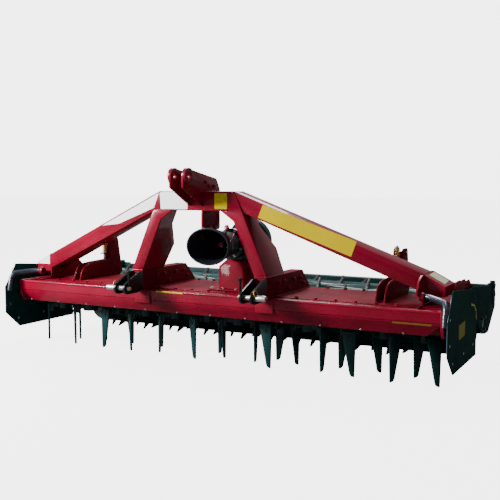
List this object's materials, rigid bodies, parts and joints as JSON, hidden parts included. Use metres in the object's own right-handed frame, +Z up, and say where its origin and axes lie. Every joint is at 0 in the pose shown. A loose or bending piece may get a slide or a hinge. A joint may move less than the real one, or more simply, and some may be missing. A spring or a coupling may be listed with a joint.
{
  "type": "tractor-mounted power harrow",
  "caption": "Mounted rotary harrow: geared rotors with knife tines under a trough, braced three-point headstock, hinged side plates and a toothed roller behind.",
  "frame": {"origin": "on the ground under the tine tips, below the centre of the machine's outline", "axes": "+X across the working width to the right seen from the front, +Y rearwards, +Z up"},
  "size_m": [3.176, 1.621, 1.26],
  "materials": {
    "painted_red": "gloss wine-red paint",
    "painted_green": "gloss dark blue-green paint",
    "tine_steel": "dark blue-green paint over forged steel",
    "painted_black": "gloss black paint",
    "dark_tube": "gloss blue-black paint",
    "guard_plastic": "moulded black plastic",
    "bright_steel": "bright machined steel"
  },
  "bodies": {
    "root": {"trough_body": "painted_red", "front_beam": "painted_red", "trough_lid": "painted_red", "trough_ends": "painted_red", "bearing_housings": "painted_green", "headstock_crossbar": "painted_red", "headstock_leg_left": "painted_red", "headstock_leg_right": "painted_red", "headstock_feet": "painted_red", "beam_doublers": "painted_red", "top_link_bracket": "painted_red", "hitch_forks": "painted_black", "hitch_pins": "bright_steel", "brace_left": "painted_red", "brace_right": "painted_red", "brace_end_boxes": "painted_red", "tube_sleeves": "painted_red", "gearbox_pedestal": "painted_red", "gearbox": "painted_green", "pto_guard": "guard_plastic", "leveller_brackets": "painted_red", "leveller_spindles": "bright_steel", "levelling_board": "painted_green", "depth_quadrants": "painted_red"},
    "rotor_01": {"rotor_01": "painted_green", "tines_01": "tine_steel"},
    "rotor_02": {"rotor_02": "painted_green", "tines_02": "tine_steel"},
    "rotor_03": {"rotor_03": "painted_green", "tines_03": "tine_steel"},
    "rotor_04": {"rotor_04": "painted_green", "tines_04": "tine_steel"},
    "rotor_05": {"rotor_05": "painted_green", "tines_05": "tine_steel"},
    "rotor_06": {"rotor_06": "painted_green", "tines_06": "tine_steel"},
    "rotor_07": {"rotor_07": "painted_green", "tines_07": "tine_steel"},
    "rotor_08": {"rotor_08": "painted_green", "tines_08": "tine_steel"},
    "rotor_09": {"rotor_09": "painted_green", "tines_09": "tine_steel"},
    "rotor_10": {"rotor_10": "painted_green", "tines_10": "tine_steel"},
    "rotor_11": {"rotor_11": "painted_green", "tines_11": "tine_steel"},
    "rotor_12": {"rotor_12": "painted_green", "tines_12": "tine_steel"},
    "pto_shaft": {"pto_shaft": "bright_steel"},
    "side_plate_left": {"side_plate_left": "painted_green", "side_tube_left": "dark_tube"},
    "side_plate_right": {"side_plate_right": "painted_green", "side_tube_right": "dark_tube"},
    "roller_frame": {"roller_arm_left": "painted_green", "roller_arm_right": "painted_green", "roller_bearings": "painted_black", "scraper_beam": "painted_green"},
    "roller": {"roller": "painted_green"}
  },
  "joints": [
    {"name": "rotor_07_spin", "type": "hinge", "parent": "root", "child": "rotor_07", "pos_m": [0.125, -0.2525, 0.3], "axis": [0, 0, 1], "continuous": true},
    {"name": "rotor_01_spin", "type": "hinge", "parent": "root", "child": "rotor_01", "pos_m": [-1.375, -0.2525, 0.3], "axis": [0, 0, 1], "continuous": true},
    {"name": "rotor_02_spin", "type": "hinge", "parent": "root", "child": "rotor_02", "pos_m": [-1.125, -0.2525, 0.3], "axis": [0, 0, 1], "continuous": true},
    {"name": "rotor_03_spin", "type": "hinge", "parent": "root", "child": "rotor_03", "pos_m": [-0.875, -0.2525, 0.3], "axis": [0, 0, 1], "continuous": true},
    {"name": "rotor_04_spin", "type": "hinge", "parent": "root", "child": "rotor_04", "pos_m": [-0.625, -0.2525, 0.3], "axis": [0, 0, 1], "continuous": true},
    {"name": "rotor_05_spin", "type": "hinge", "parent": "root", "child": "rotor_05", "pos_m": [-0.375, -0.2525, 0.3], "axis": [0, 0, 1], "continuous": true},
    {"name": "rotor_06_spin", "type": "hinge", "parent": "root", "child": "rotor_06", "pos_m": [-0.125, -0.2525, 0.3], "axis": [0, 0, 1], "continuous": true},
    {"name": "rotor_08_spin", "type": "hinge", "parent": "root", "child": "rotor_08", "pos_m": [0.375, -0.2525, 0.3], "axis": [0, 0, 1], "continuous": true},
    {"name": "rotor_09_spin", "type": "hinge", "parent": "root", "child": "rotor_09", "pos_m": [0.625, -0.2525, 0.3], "axis": [0, 0, 1], "continuous": true},
    {"name": "rotor_10_spin", "type": "hinge", "parent": "root", "child": "rotor_10", "pos_m": [0.875, -0.2525, 0.3], "axis": [0, 0, 1], "continuous": true},
    {"name": "rotor_11_spin", "type": "hinge", "parent": "root", "child": "rotor_11", "pos_m": [1.125, -0.2525, 0.3], "axis": [0, 0, 1], "continuous": true},
    {"name": "rotor_12_spin", "type": "hinge", "parent": "root", "child": "rotor_12", "pos_m": [1.375, -0.2525, 0.3], "axis": [0, 0, 1], "continuous": true},
    {"name": "pto_spin", "type": "hinge", "parent": "root", "child": "pto_shaft", "pos_m": [0.125, -0.4325, 0.783], "axis": [0, 1, 0], "continuous": true},
    {"name": "roller_frame_swing", "type": "hinge", "parent": "root", "child": "roller_frame", "pos_m": [0, -0.3525, 0.4], "axis": [-1, 0, 0], "range_deg": [0, 10]},
    {"name": "roller_spin", "type": "hinge", "parent": "roller_frame", "child": "roller", "pos_m": [0, 0.3975, 0.262], "axis": [1, 0, 0], "continuous": true},
    {"name": "side_plate_left_swing", "type": "hinge", "parent": "root", "child": "side_plate_left", "pos_m": [-1.5, -0.4575, 0.538], "axis": [1, 0, 0], "range_deg": [0, 20]},
    {"name": "side_plate_right_swing", "type": "hinge", "parent": "root", "child": "side_plate_right", "pos_m": [1.5, -0.4575, 0.538], "axis": [1, 0, 0], "range_deg": [0, 20]}
  ],
  "couplings": [
    {"joint": "rotor_01_spin", "follows": "rotor_07_spin", "ratio": 1},
    {"joint": "rotor_02_spin", "follows": "rotor_07_spin", "ratio": -1},
    {"joint": "rotor_03_spin", "follows": "rotor_07_spin", "ratio": 1},
    {"joint": "rotor_04_spin", "follows": "rotor_07_spin", "ratio": -1},
    {"joint": "rotor_05_spin", "follows": "rotor_07_spin", "ratio": 1},
    {"joint": "rotor_06_spin", "follows": "rotor_07_spin", "ratio": -1},
    {"joint": "rotor_08_spin", "follows": "rotor_07_spin", "ratio": -1},
    {"joint": "rotor_09_spin", "follows": "rotor_07_spin", "ratio": 1},
    {"joint": "rotor_10_spin", "follows": "rotor_07_spin", "ratio": -1},
    {"joint": "rotor_11_spin", "follows": "rotor_07_spin", "ratio": 1},
    {"joint": "rotor_12_spin", "follows": "rotor_07_spin", "ratio": -1},
    {"joint": "pto_spin", "follows": "rotor_07_spin", "ratio": 2.9}
  ]
}
